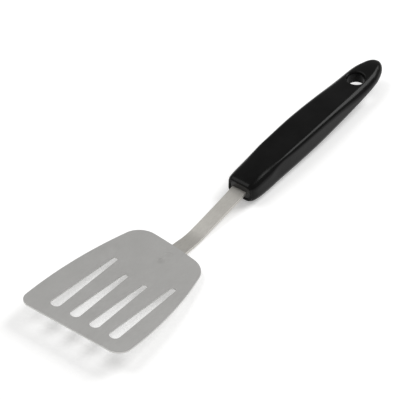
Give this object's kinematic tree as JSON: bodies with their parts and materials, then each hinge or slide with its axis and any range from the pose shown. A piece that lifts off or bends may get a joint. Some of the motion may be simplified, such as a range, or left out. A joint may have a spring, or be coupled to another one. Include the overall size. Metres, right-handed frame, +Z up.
{
  "type": "grill spatula",
  "caption": "Slotted grill spatula: flat steel blade with tapered drain slots, welded flat bar shank and a glossy black moulded handle with a hanging hole.",
  "frame": {"origin": "centre of the footprint of the turner, at table level, as it rests on the bend of its shank and the underside of its handle", "axes": "+X towards the blade's working edge, along the tool; +Y across the blade; +Z up from the table"},
  "size_m": [0.3056, 0.0778, 0.0175],
  "materials": {
    "blade_steel": "fine satin stainless sheet, very faint grain along the tool",
    "shank_steel": "satin stainless bar, slightly warmer than the blade",
    "weld_steel": "dull fused steel",
    "handle_plastic": "glossy black injection moulding with a very fine orange-peel",
    "plug_plastic": "semi-matt black moulding"
  },
  "bodies": {
    "root": {"blade": "blade_steel", "shank": "shank_steel", "spot_welds": "weld_steel", "handle": "handle_plastic", "socket_plug": "plug_plastic"}
  },
  "joints": []
}
